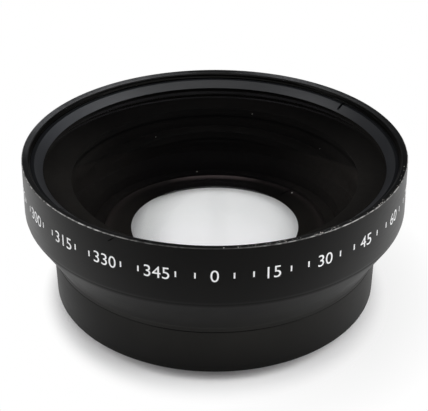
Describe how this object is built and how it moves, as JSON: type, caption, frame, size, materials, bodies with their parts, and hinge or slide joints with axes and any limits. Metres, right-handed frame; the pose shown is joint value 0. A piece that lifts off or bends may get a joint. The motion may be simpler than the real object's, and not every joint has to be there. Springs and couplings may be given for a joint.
{
  "type": "wide-angle conversion lens",
  "caption": "Wide-angle conversion lens: a broad rim with a negative front glass, screwed onto a close-up lens section with a rear filter thread.",
  "frame": {"origin": "on the optical axis, level with the tip of the rear thread", "axes": "+Z along the optical axis towards the scene; X and Y across it, -Y to the picture's camera"},
  "size_m": [0.075, 0.075, 0.0323],
  "materials": {
    "black_anodised": "satin black anodised",
    "ring_anodised": "fine turned, black anodised",
    "coated_glass": "polished, anti-reflection coated",
    "white_marking": "matte white printed marking"
  },
  "bodies": {
    "macro_section": {"macro_barrel": "black_anodised", "macro_element": "coated_glass", "macro_retaining_ring": "ring_anodised"},
    "wide_glass": {"front_element": "coated_glass"},
    "wide_housing": {"front_barrel": "black_anodised", "front_retaining_ring": "ring_anodised"}
  },
  "joints": [
    {"name": "unscrew_lift", "type": "slide", "parent": "macro_section", "child": "wide_glass", "axis": [0, 0, 1], "range_m": [0, 0.003]},
    {"name": "unscrew_turn", "type": "hinge", "parent": "wide_glass", "child": "wide_housing", "pos_m": [0, 0, 0.0119], "axis": [0, 0, 1], "range_deg": [0, 1440]}
  ],
  "couplings": [
    {"joint": "unscrew_lift", "follows": "unscrew_turn", "m_per_rad": 0.00011937}
  ]
}
